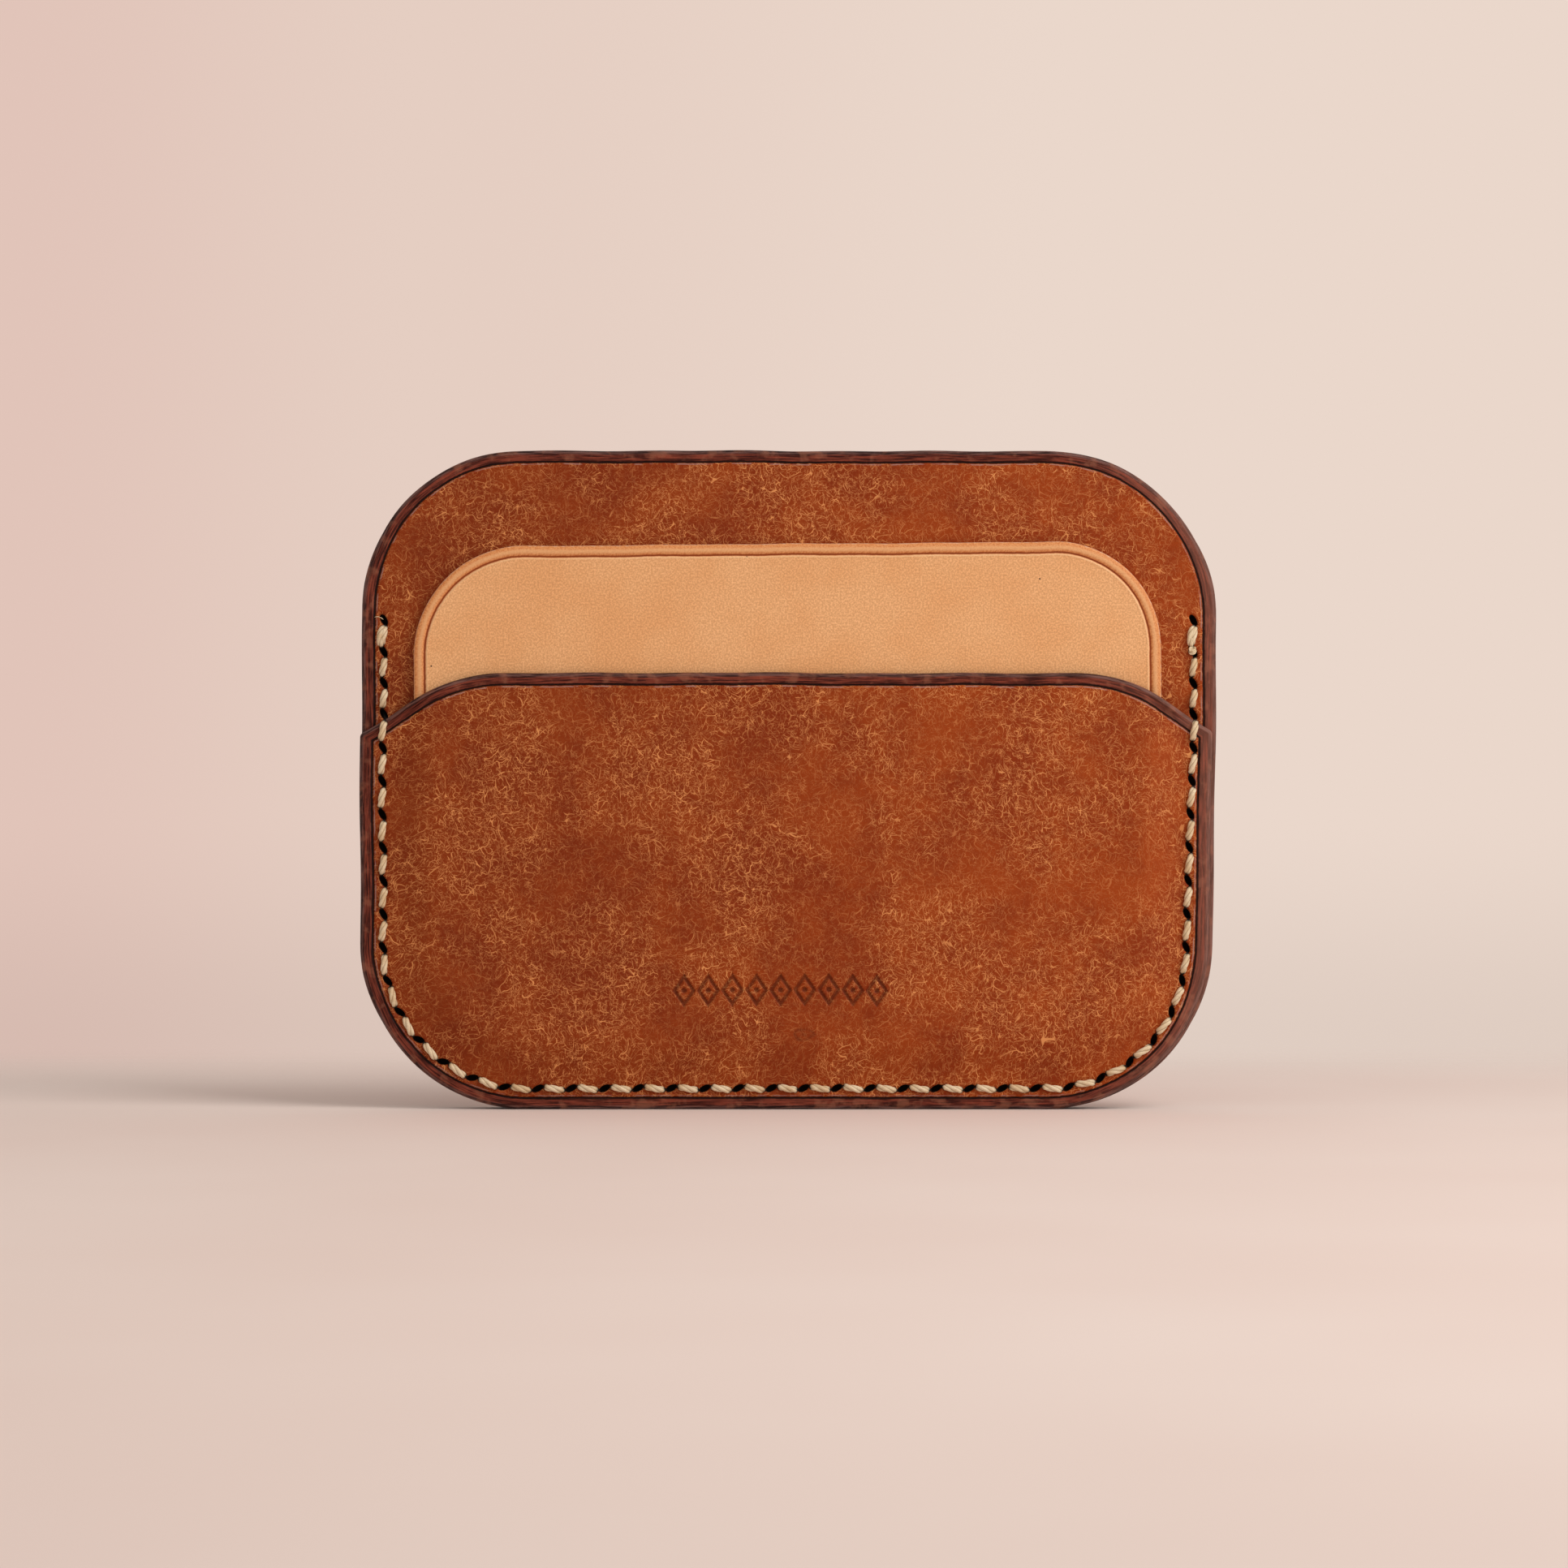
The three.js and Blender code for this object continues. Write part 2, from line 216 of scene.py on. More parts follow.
LEATHER = 1.2
HOLDER_CORNER = 19.4
PANEL_RADII = (HOLDER_CORNER + 0.2, HOLDER_CORNER - 0.1, 20.0, 18.5)
LEFT_TRIM = 0.10
TOP_TRIM = 0.05
RIGHT_LEAN = 0.010
SIDES_PROUD = 0.25
BORDER_DROP = 0.10
CREASE_INSET = 1.42
CREASE_DEPTH = 0.16
SEAM_INSET = 2.5
SEAM_STRAY = 0.55
SEAM_LEVEL = 46.87
STITCHES = 43
RISE = 11.2
RISERS = 3
SLIT_TURN = math.radians(27)
SLIT_HALF_LENGTH = 0.80
SLIT_HALF_WIDTH = 0.40
SLIT_DEPTH = 0.85
COLUMN = 0.2
ROUND_MIN = 5.0


def holder_corners(left, right, top, radii):
    """The holder's outline as corners (x, z, radius), from the lower left, turning left."""
    lower_left, lower_right, upper_right, upper_left = radii
    return [
        (left, 0.0, lower_left),
        (right, 0.0, lower_right),
        (right, top, upper_right),
        (left, top, upper_left),
    ]


def outline_rings(corners, insets):
    """Rings of points drawn in from a convex outline by each inset, one column per point.

    A large corner keeps its own columns; a small one shares those of its two sides, so that the
    columns meet on the line that halves the corner. Also gives each column's run along the edge.
    """
    points = np.array([c[:2] for c in corners], float)
    radii = [c[2] for c in corners]
    count = len(corners)
    steps = np.roll(points, -1, axis=0) - points
    heading = steps / np.linalg.norm(steps, axis=1)[:, None]
    inward = np.stack([-heading[:, 1], heading[:, 0]], axis=1)

    def stretches(inset):
        """The outline at one inset as stretches: an arc for a large corner, else a line."""
        arcs, starts, ends = [], [], []
        for i in range(count):
            before, after = inward[i - 1], inward[i]
            shift = (before + after) / (1 + before @ after)
            radius = max(radii[i] - inset, 0.0)
            centre = points[i] + shift * (inset + radius)
            first = math.atan2(-before[1], -before[0])
            turn = math.acos(max(-1.0, min(1.0, float(before @ after))))
            angles = first + turn * np.linspace(0, 1, 33)
            arc = centre + radius * np.stack([np.cos(angles), np.sin(angles)], axis=1)
            large = radii[i] >= ROUND_MIN
            arcs.append(arc if large else None)
            starts.append(arc[-1:] if large else arc[16:])
            ends.append(arc[:1] if large else arc[:17])
        made = []
        for i in range(count):
            if arcs[i] is not None:
                made.append(arcs[i])
            made.append(np.concatenate([starts[i], ends[(i + 1) % count]]))
        return made

    def lengths(line):
        """How far along a line each of its points lies."""
        return np.concatenate([[0], np.cumsum(np.linalg.norm(np.diff(line, axis=0), axis=1))])

    columns = [max(2, round(lengths(line)[-1] / COLUMN)) for line in stretches(0.0)]
    rings = []
    for inset in insets:
        ring = []
        for line, wanted in zip(stretches(inset), columns):
            run = lengths(line)
            at = np.arange(wanted) / wanted * run[-1]
            ring.append(np.stack([np.interp(at, run, line[:, k]) for k in (0, 1)], axis=1))
        rings.append(np.concatenate(ring))
    outer = np.concatenate([rings[0], rings[0][:1]])
    return np.array(rings), lengths(outer)


def sway(at, wavelengths, phases):
    """A gentle, seedless wander between about -1 and 1, as a hand-cut line has."""
    total = sum(np.sin(2 * np.pi * at / w + p) for w, p in zip(wavelengths, phases))
    return total / len(wavelengths)


def hand_cut(place):
    """Moves points (x, z) by some tenths of a millimetre, as a hand-cut sheet wanders.

    The right-hand side also leans in towards the foot, and both sides stand out past the seam.
    """
    x, z = place[:, 0], place[:, 1]
    shift_x = 0.10 * sway(z + 0.2 * x, (47.0, 19.0), (0.4, 2.1))
    shift_z = 0.11 * sway(x + 0.15 * z, (56.0, 23.0, 11.0), (1.7, 0.3, 4.0))
    lean = RIGHT_LEAN * (z - 30) * np.clip(x / 50, 0, 1)
    proud = SIDES_PROUD * np.sign(x) * np.clip((np.abs(x) - 48.2) / 2.0, 0, 1)
    low = np.clip(z / 6.0, 0, 1)
    return np.stack([x + shift_x + lean + proud, z + shift_z * low], axis=1)


def seam_line():
    """Half of the seam's path: its points and their runs, from the bottom's middle up the right."""
    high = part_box("middle_panel")[1]
    half_width, height = high.x / MM, high.z / MM
    turn = np.linspace(-math.pi / 2, 0, 65)
    arc_x = half_width - HOLDER_CORNER + (HOLDER_CORNER - SEAM_INSET) * np.cos(turn)
    arc_z = HOLDER_CORNER + (HOLDER_CORNER - SEAM_INSET) * np.sin(turn)
    x = np.concatenate([[0], arc_x, [half_width - SEAM_INSET]])
    z = np.concatenate([[SEAM_INSET], arc_z, [height - HOLDER_CORNER]])
    run = np.concatenate([[0], np.cumsum(np.hypot(np.diff(x), np.diff(z)))])
    return x, z, run


def slit_places():
    """The slits' middles and headings from the upper left round to the upper right, in mm."""
    x, z, run = seam_line()
    reach = run[-1] - (z[-1] - SEAM_LEVEL)
    above = [reach + RISE * (i + 1) / RISERS for i in range(RISERS)]
    distances = [-d for d in reversed(above)]
    distances += list(np.linspace(-reach, reach, STITCHES + 1))
    distances += above
    places = []
    for distance in distances:
        side = -1.0 if distance < 0 else 1.0
        behind, here, ahead = [
            np.array([np.interp(at, run, x), np.interp(at, run, z)])
            for at in (abs(distance) - 0.05, abs(distance), abs(distance) + 0.05)
        ]
        step = (ahead - behind) / np.linalg.norm(ahead - behind)
        stray = SEAM_STRAY * math.exp(-(((here[1] - 21) / 15) ** 2)) if side > 0 else 0.0
        middle = np.array([side * here[0] - stray, here[1]])
        places.append((middle, np.array([step[0], side * step[1]])))
    return places


SLITS = slit_places()


def slit_axis(heading, turn=SLIT_TURN):
    """A slit's own direction: the seam's heading turned by the iron's slant."""
    c, s = math.cos(turn), math.sin(turn)
    return np.array([c * heading[0] - s * heading[1], s * heading[0] + c * heading[1]])


def soft_step(values, low, high):
    """A smooth step of numbers from 0 at low to 1 at high."""
    share = np.clip((values - low) / (high - low), 0, 1)
    return share * share * (3 - 2 * share)


def slit_depth(place, slits):
    """How deep the slits sink at points (x, z): 0 on the leather, up to 1 in a slit's middle."""
    sunk = np.zeros(len(place))
    for middle, heading in slits:
        axis = slit_axis(heading)
        away = place - middle
        along = (away @ axis) / SLIT_HALF_LENGTH
        across = (away @ np.array([-axis[1], axis[0]])) / SLIT_HALF_WIDTH
        spread = np.sqrt(along**2 + across**2)
        sunk = np.maximum(sunk, 1 - np.clip((spread - 0.55) / 0.55, 0, 1))
    return soft_step(sunk, 0, 1)


def edge_sink(inset, crease_depth):
    """How far the grain side lies below its own level at an inset: burnished border and crease."""
    border = BORDER_DROP * (1 - np.clip((inset - CREASE_INSET + 0.1) / 0.25, 0, 1))
    crease = crease_depth * np.exp(-(((inset - CREASE_INSET) / 0.13) ** 2))
    lip = -0.035 * np.exp(-(((inset - CREASE_INSET - 0.32) / 0.14) ** 2))
    return border + crease + lip


def inside_ring(place, ring):
    """Which points lie inside a convex ring that turns left."""
    ahead = np.roll(ring, -1, axis=0) - ring
    inside = np.ones(len(place), bool)
    for corner, step in zip(ring[::6], ahead[::6]):
        away = place - corner
        inside &= step[0] * away[:, 1] - step[1] * away[:, 0] > 0
    return inside


def fill_inside(ring, step, extra=()):
    """Points and triangles over the inside of a ring: a wide grid, and any extra points."""
    low, high = ring.min(0), ring.max(0)
    rows = np.arange(low[1] + step, high[1], step * 0.866)
    grid = []
    for i, z in enumerate(rows):
        xs = np.arange(low[0] + step * (0.5 + 0.5 * (i % 2)), high[0], step)
        grid.append(np.stack([xs, np.full(len(xs), z)], axis=1))
    grid = np.concatenate(grid)
    middle = ring.mean(0)
    posts = ring[:: max(1, round(step / COLUMN))]
    gap = np.min([np.hypot(*(grid - post).T) for post in posts], axis=0)
    grid = grid[inside_ring(grid, ring) & (gap > step * 0.8)]
    points = [ring, (ring + (middle - ring) * 0.012)[::3], grid]
    if len(extra):
        near = (grid > extra.min(0) - 0.4) & (grid < extra.max(0) + 0.4)
        points[2] = grid[~near.all(axis=1)]
        points.append(extra)
    flat = np.concatenate(points)
    count = len(ring)
    edges = [(i, (i + 1) % count) for i in range(count)]
    made = geometry.delaunay_2d_cdt([Vector(p) for p in flat], edges, [], 1, 1e-5)
    order = [sources[0] for sources in made[3]]
    faces = [tuple(order[i] for i in face) for face in made[2]]
    return flat, faces


BORDER_RINGS = [0.62, 0.78, 0.94, 1.08, 1.2, 1.3, 1.37, 1.44, 1.52, 1.6, 1.7, 1.82]
SEAM_RINGS = [1.95, 2.08, 2.2, 2.32, 2.44, 2.56, 2.68, 2.8, 2.92, 3.05, 3.18, 3.32, 3.47, 3.65]
INNER_RINGS = [4.1, 4.7, 5.3, 6.0]
FLESH_RINGS = [5.3, 4.7, 4.1, 3.5, 2.8, 1.5]
FAR_INSIDE = 9.0
FLESH_STEP = 4.0
RIM_STRETCH = 18.0


def cut_sheet(name, corners, grain, level, sink, step=1.4, extra=(), edge_round=0.5,
              wander=hand_cut, shades=None):
    """A sheet of leather as one closed mesh.

    grain is -1 where its grain side faces the front and 1 where it faces the back; level(place)
    is the depth of its middle layer, and sink(place, inset) how far the grain side is pressed in.
    shades holds named functions of the place, whose values are stored at the points.
    """
    turns = np.radians([15, 30, 45, 60, 75, 90])
    round_insets = edge_round * (1 - np.cos(turns))
    grain_insets = [0.0, *round_insets, *BORDER_RINGS, *SEAM_RINGS, *INNER_RINGS]
    rings, run = outline_rings(corners, grain_insets)
    columns = rings.shape[1]
    circle = 2 * np.pi * run[:-1] / run[-1]
    reach = run[-1] / (2 * np.pi)
    half = LEATHER / 2
    grounds, depths, insets, flesh, rounds = [], [], [], [], []

    def add_points(ground, inset, is_flesh, around, height=1.0):
        """height is the share of half the thickness, from the middle layer, before pressing."""
        side = -grain if is_flesh else grain
        inset = np.full(len(ground), inset)
        pressed = sink(ground, inset) if not is_flesh and height == 1 else 0
        grounds.append(ground)
        depths.append(level(ground) + side * (half * height - pressed))
        insets.append(inset)
        flesh.append(np.full(len(ground), float(is_flesh)))
        rounds.append(around)

    add_points(rings[-1], grain_insets[-1], True, circle)
    flesh_rings = [(inset, 1.0) for inset in FLESH_RINGS]
    flesh_rings += list(zip(round_insets, np.sin(turns)))[::-1]
    for inset, height in flesh_rings:
        add_points(outline_rings(corners, [0.0, inset])[0][1], inset, True, circle, height)
    add_points(rings[0], 0.0, False, circle, 0.0)
    for ring, inset, height in zip(rings[1:], round_insets, np.sin(turns)):
        border_drop = edge_sink(inset, 0) / half
        add_points(ring, inset, False, circle, height * (1 - border_drop) - 1e-6)
    for ring, inset in list(zip(rings, grain_insets))[len(turns) + 1 :]:
        add_points(ring, inset, False, circle)

    faces = []
    for r in range(len(grounds) - 1):
        a = np.arange(columns) + r * columns
        b = np.roll(np.arange(columns), -1) + r * columns
        faces.append(np.stack([a, b, b + columns, a + columns], axis=1))
    quads = np.concatenate(faces)
    last_ring = (len(grounds) - 1) * columns
    triangles = []
    for is_flesh, ring_start, spacing, more in (
        (True, 0, FLESH_STEP, ()),
        (False, last_ring, step, extra),
    ):
        flat, fill = fill_inside(rings[-1], spacing, more)
        added = flat[columns:]
        offset = sum(len(ground) for ground in grounds)
        add_points(added, FAR_INSIDE, is_flesh, np.zeros(len(added)))
        lookup = np.concatenate([np.arange(columns) + ring_start, np.arange(len(added)) + offset])
        corners_of = lookup[np.array(fill)]
        triangles.append(corners_of[:, ::-1] if is_flesh else corners_of)

    ground = np.concatenate(grounds)
    place = wander(ground)
    vertices = np.stack([place[:, 0], np.concatenate(depths), place[:, 1]], axis=1) * MM
    triangles = np.concatenate(triangles)
    if grain > 0:
        quads, triangles = quads[:, ::-1], triangles[:, ::-1]
    mesh = bpy.data.meshes.new(name)
    mesh.from_pydata(vertices.tolist(), [], quads.tolist() + triangles.tolist())
    mesh.polygons.foreach_set("use_smooth", np.ones(len(mesh.polygons), bool))
    inset_all, round_all = np.concatenate(insets), np.concatenate(rounds)
    marks = {"inset": inset_all, "flesh": np.concatenate(flesh)}
    for key, shade in (shades or {}).items():
        marks[key] = shade(ground)
    for key, values in marks.items():
        mesh.attributes.new(key, "FLOAT", "POINT").data.foreach_set("value", values.astype("f"))
    loop = np.stack([reach * np.cos(round_all), reach * np.sin(round_all),
                     RIM_STRETCH * inset_all], axis=1)
    edge_run = mesh.attributes.new("edge_run", "FLOAT_VECTOR", "POINT")
    edge_run.data.foreach_set("vector", loop.astype("f").ravel())
    mesh.update()
    sheet = bpy.data.objects.new(name, mesh)
    bpy.context.scene.collection.objects.link(sheet)
    return sheet


def millimetres(add):
    """Where a point lies on its own piece, in millimetres, its depth folded into the two others."""
    place = add("ShaderNodeTexCoord").outputs["Object"]
    axes = add("ShaderNodeSeparateXYZ", {"Vector": place})
    across = maths(add, "MULTIPLY_ADD", axes.outputs["Y"], 0.8, axes.outputs["X"])
    up = maths(add, "MULTIPLY_ADD", axes.outputs["Y"], 0.6, axes.outputs["Z"])
    flat = add("ShaderNodeCombineXYZ", {"X": across, "Y": up})
    return add("ShaderNodeMapping", {"Vector": flat.outputs[0], "Scale": (1 / MM,) * 3}).outputs[0]


def attribute(add, name, output="Fac"):
    """What a sheet or thread stores at its points under a name."""
    return add("ShaderNodeAttribute", attribute_name=name).outputs[output]


def maths(add, operation, first, second=0.0, third=0.0):
    """One sum on shader values."""
    return add("ShaderNodeMath", {0: first, 1: second, 2: third}, operation=operation).outputs[0]


def noise(add, vector, scale, detail, shift, roughness=0.5, dimensions="2D"):
    """Noise at a scale per millimetre, shifted so that no two uses are alike."""
    moved = add("ShaderNodeVectorMath", {0: vector, 1: (shift, 1.7 * shift, 0.0)}, operation="ADD")
    return add("ShaderNodeTexNoise", {"Vector": moved.outputs[0], "Scale": scale,
                                      "Detail": detail, "Roughness": roughness},
               noise_dimensions=dimensions)


def pushed(add, place, scale, reach, shift):
    """The same places, pushed about by up to half a reach in millimetres."""
    by = noise(add, place, scale, 1.0, shift).outputs["Color"]
    centred = add("ShaderNodeVectorMath", {0: by, 1: (0.5, 0.5, 0.5)}, operation="SUBTRACT")
    scaled = add("ShaderNodeVectorMath", {0: centred.outputs[0], "Scale": reach},
                 operation="SCALE")
    return add("ShaderNodeVectorMath", {0: place, 1: scaled.outputs[0]}, operation="ADD").outputs[0]


def away_from(add, value, middle):
    """How far a value is from a middle one, on either side."""
    return maths(add, "ABSOLUTE", maths(add, "SUBTRACT", value, middle))


def most(add, layers):
    """The greatest of several values."""
    top = layers[0]
    for layer in layers[1:]:
        top = maths(add, "MAXIMUM", top, layer)
    return top


def band(add, value, low, high, low_gives=0.0, high_gives=1.0):
    """A smooth step from one value to another as the input goes from low to high."""
    step = add("ShaderNodeMapRange", {"Value": value, "From Min": low, "From Max": high,
                                      "To Min": low_gives, "To Max": high_gives},
               interpolation_type="SMOOTHSTEP")
    return step.outputs["Result"]


def blend_colour(add, share, first, second):
    """Colour first, going over to second as share goes to 1."""
    mix = add("ShaderNodeMix", data_type="RGBA")
    tree = mix.id_data
    for socket, value in zip((mix.inputs[0], mix.inputs[6], mix.inputs[7]), (share, first, second)):
        if isinstance(value, bpy.types.NodeSocket):
            tree.links.new(value, socket)
        else:
            socket.default_value = value
    return mix.outputs[2]


def broken_up(add, lines, place, scale, share, shift):
    """Lines shown only in patches, so that they come in short lengths."""
    patches = noise(add, place, scale, 1.0, shift + 31.0).outputs["Fac"]
    return maths(add, "MULTIPLY", lines, band(add, patches, share, share + 0.10))


def curled_lines(add, place, scale, width, patch_scale, share, shift):
    """Fine curled lines, most of them long arcs: raised fibres."""
    field = noise(add, place, scale, 0.0, shift).outputs["Fac"]
    line = band(add, away_from(add, field, 0.5), width * 0.3, width, 1.0, 0.0)
    return broken_up(add, line, place, patch_scale, share, shift)


def short_hairs(add, place, scale, width, patch_scale, share, shift):
    """Short crossing hairs of one width, which is given in millimetres."""
    moved = add("ShaderNodeVectorMath", {0: place, 1: (shift, -shift, 0.0)}, operation="ADD")
    cells = add("ShaderNodeTexVoronoi", {"Vector": moved.outputs[0], "Scale": scale},
                feature="DISTANCE_TO_EDGE", voronoi_dimensions="2D")
    line = band(add, cells.outputs["Distance"], width * scale * 0.35, width * scale, 1.0, 0.0)
    return broken_up(add, line, place, patch_scale, share, shift)


def scuffs(add, place):
    """Raised pale fibres: how high they stand, and how plainly they show in the rubbed clouds."""
    bent = pushed(add, pushed(add, place, 0.35, 1.8, 3.0), 1.2, 0.45, 8.0)
    short = most(add, [
        short_hairs(add, bent, 1.20, 0.040, 1.20, 0.45, 23.0),
        short_hairs(add, bent, 2.00, 0.034, 1.60, 0.44, 37.0),
        curled_lines(add, place, 1.40, 0.018, 1.20, 0.45, 71.0),
        curled_lines(add, place, 2.30, 0.026, 1.60, 0.44, 97.0),
    ])
    long = most(add, [
        short_hairs(add, bent, 0.66, 0.052, 0.80, 0.49, 11.0),
        curled_lines(add, bent, 0.45, 0.009, 0.60, 0.50, 53.0),
        curled_lines(add, bent, 0.80, 0.015, 0.85, 0.50, 113.0),
    ])
    haze = noise(add, place, 1.1, 4.0, 61.0, 0.7).outputs["Fac"]
    clouds = noise(add, place, 0.075, 4.0, 5.0, 0.65).outputs["Fac"]
    rubbed = band(add, clouds, 0.34, 0.60, 0.35, 1.0)
    short_seen = maths(add, "MULTIPLY", short, band(add, haze, 0.32, 0.60, 0.30, 0.85))
    seen = maths(add, "MULTIPLY", maths(add, "MAXIMUM", short_seen, long), rubbed)
    return maths(add, "MAXIMUM", short, long), seen, haze, rubbed


def waxy_hide(add, place, seen, haze, rubbed):
    """The colour of the open leather: clouded tan under its scuffs, with painted shade that darkens
    it towards the left.
    """
    tone = noise(add, place, 0.10, 5.0, 41.0, 0.65).outputs["Fac"]
    base = blend_colour(add, band(add, tone, 0.30, 0.70), colour("8C3209"), colour("A34310"))
    base = blend_colour(add, maths(add, "MULTIPLY", band(add, haze, 0.42, 0.80, 0.0, 0.45), rubbed),
                        base, colour("B5602C"))
    # Painted shade: the leather is coloured darker towards the left, away from the lamps.
    sideways = add("ShaderNodeSeparateXYZ", {"Vector": place}).outputs["X"]
    base = blend_colour(add, band(add, sideways, -55.0, 45.0, 0.37, 0.0), base, colour("581A03"))
    felt = blend_colour(add, maths(add, "MULTIPLY", seen, 0.95), base, colour("E79C5E"))
    knot = maths(add, "MULTIPLY", attribute(add, "knot"), 0.5)
    return blend_colour(add, knot, felt, colour("4A1A08"))


def burnished_border(add, place, inset, streaks, worn):
    """The colour of the dyed, burnished border and rim, rubbed lighter in patches, and painted
    lighter towards the right as painted light.
    """
    rim = blend_colour(add, band(add, streaks, 0.36, 0.66), colour("2B1512"), colour("75524B"))
    dyed = blend_colour(add, band(add, streaks, 0.34, 0.70), colour("36100A"), colour("8C4230"))
    border = blend_colour(add, band(add, inset, 0.30, 0.60), rim, dyed)
    border = blend_colour(add, band(add, worn, 0.52, 0.72, 0.0, 0.4), border, colour("A0664E"))
    # Painted light: the border is coloured lighter towards the right, the side the lamps stand on.
    sideways = add("ShaderNodeSeparateXYZ", {"Vector": place}).outputs["X"]
    return blend_colour(add, band(add, sideways, 30.0, 50.0, 0.0, 0.22), border, colour("B9806C"))


def make_tan_leather():
    """Waxy tan leather: clouded colour under a felt of fine pale scuffs, dark burnished border, with
    painted shade to the left and in the slits, painted light on the right border and a painted
    highlight beside the crease.
    """
    material, tree, shader, add = new_material("tan_leather")
    place = millimetres(add)
    fibres, seen, haze, rubbed = scuffs(add, place)
    streaks = noise(add, attribute(add, "edge_run", "Vector"), 0.30, 4.0, 7.0, 0.6, "3D")
    streaks = streaks.outputs["Fac"]
    worn = noise(add, place, 0.5, 3.0, 83.0).outputs["Fac"]
    wobble = maths(add, "MULTIPLY_ADD", haze, 0.16, -0.08)
    inset = maths(add, "ADD", attribute(add, "inset"), wobble)
    hide = waxy_hide(add, place, seen, haze, rubbed)
    border = burnished_border(add, place, inset, streaks, worn)
    skin = blend_colour(add, band(add, inset, 1.36, 1.54), border, hide)
    off_crease = away_from(add, inset, CREASE_INSET - 0.04)
    skin = blend_colour(add, band(add, off_crease, 0.07, 0.19, 0.94, 0.0), skin, colour("160605"))
    # Painted highlight: a thin pale line just inside the crease, on the raised lip, broken into
    # patches.
    off_lip_highlight = away_from(add, inset, CREASE_INSET + 0.22)
    lip = maths(add, "MULTIPLY", band(add, off_lip_highlight, 0.02, 0.10, 0.7, 0.0),
                band(add, worn, 0.40, 0.58))
    skin = blend_colour(add, lip, skin, colour("A8867E"))
    pressed = maths(add, "MULTIPLY", attribute(add, "pressed"), 0.55)
    skin = blend_colour(add, pressed, skin, colour("4A1808"))
    nap = noise(add, place, 5.0, 4.0, 3.0, 0.7).outputs["Fac"]
    suede = blend_colour(add, band(add, nap, 0.35, 0.65), colour("7C4A2B"), colour("A97A55"))
    inside = maths(add, "MULTIPLY", attribute(add, "flesh"), band(add, inset, 0.42, 0.70))
    skin = blend_colour(add, inside, skin, suede)
    # Painted shade: the slits are coloured near black, as the shade inside a hole.
    painted_slit_shade = band(add, attribute(add, "slit"), 0.10, 0.40)
    skin = blend_colour(add, painted_slit_shade, skin, colour("0E0403"))
    tree.links.new(skin, shader.inputs["Base Color"])

    rough = maths(add, "MULTIPLY_ADD", seen, 0.15, 0.52)
    rough = maths(add, "MULTIPLY", rough, band(add, inset, 1.3, 1.6, 0.72, 1.0))
    rough = maths(add, "MAXIMUM", rough, maths(add, "MULTIPLY", painted_slit_shade, 0.9))
    tree.links.new(rough, shader.inputs["Roughness"])
    shader.inputs["Specular IOR Level"].default_value = 0.13
    grain = noise(add, place, 2.6, 5.0, 29.0, 0.65).outputs["Fac"]
    streak_height = maths(add, "MULTIPLY", streaks, band(add, inset, 1.2, 1.5, 1.2, 0.0))
    height = maths(add, "MULTIPLY_ADD", fibres, 0.35, grain)
    height = maths(add, "ADD", height, streak_height)
    bump = add("ShaderNodeBump", {"Height": height, "Strength": 0.5, "Distance": 0.06 * MM})
    tree.links.new(bump.outputs["Normal"], shader.inputs["Normal"])
    return material


TAN_LEATHER = make_tan_leather()


def panel_slits(place):
    """The slits of a panel, which is sewn all the way up."""
    return slit_depth(place, SLITS)


def panel_sink(place, inset):
    """How far a panel's grain side is pressed in."""
    return edge_sink(inset, CREASE_DEPTH) + SLIT_DEPTH * panel_slits(place)


def flat_at(node):
    """The level of a flat sheet: the middle of its node's depth, at every point."""
    low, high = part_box(node)
    middle = (low.y + high.y) / 2 / MM
    return lambda place: np.full(len(place), middle)


def make_panel(node, grain):
    """A panel with its grain side to the front (-1) or to the back (1)."""
    low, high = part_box(node)
    top = high.z / MM - TOP_TRIM
    corners = holder_corners(low.x / MM + LEFT_TRIM, high.x / MM, top, PANEL_RADII)
    panel = cut_sheet(node + "_leather", corners, grain, flat_at(node), panel_sink,
                      shades={"slit": panel_slits})
    panel.data.materials.append(TAN_LEATHER)
    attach(panel, "holder")
    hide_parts(node)


make_panel("rear_panel", 1)

# ---------------------------------------------------------------------------------------------
# Middle panel. The same cut as the rear panel, with its grain side to the front, where it shows
# above the pocket.

make_panel("middle_panel", -1)

# ---------------------------------------------------------------------------------------------
# Divider. A slip of undyed vegetable-tanned leather, smooth side to the front, that slides in
# the pocket behind the mouth. Its cut edge is bare and pale, and a warm creaser has drawn one
# line inside it. It was cut a little out of square.

DIVIDER_CREASE = 1.30
DIVIDER_BEAD = 0.72
DIVIDER_RADII = (11.5, 11.5, 12.6, 13.0)
DIVIDER_RIGHT_HIGH = 0.25
DIVIDER_LEFT_LOW = 0.45


def divider_sink(place, inset):
    """How far the divider's smooth side is pressed in: crease, lip and rounded border."""
    crease = 0.15 * np.exp(-(((inset - DIVIDER_CREASE) / 0.12) ** 2))
    lip = -0.03 * np.exp(-(((inset - DIVIDER_CREASE - 0.3) / 0.13) ** 2))
    bead = np.clip((inset - DIVIDER_BEAD) / 0.55, -1, 1) ** 2
    border = 0.12 * bead * (1 - np.clip((inset - DIVIDER_CREASE) / 0.3, 0, 1))
    return crease + lip + border


def divider_wander(place):
    """Moves points (x, z) a little, most at the top, where the slip was cut free-hand."""
    x, z = place[:, 0], place[:, 1]
    shift_x = 0.05 * sway(z, (31.0, 13.0), (0.9, 2.6))
    shift_z = 0.07 * sway(x, (38.0, 17.0, 8.0), (2.2, 0.7, 1.1))
    return np.stack([x + shift_x, z + shift_z * np.clip((z - 20) / 20, 0, 1)], axis=1)


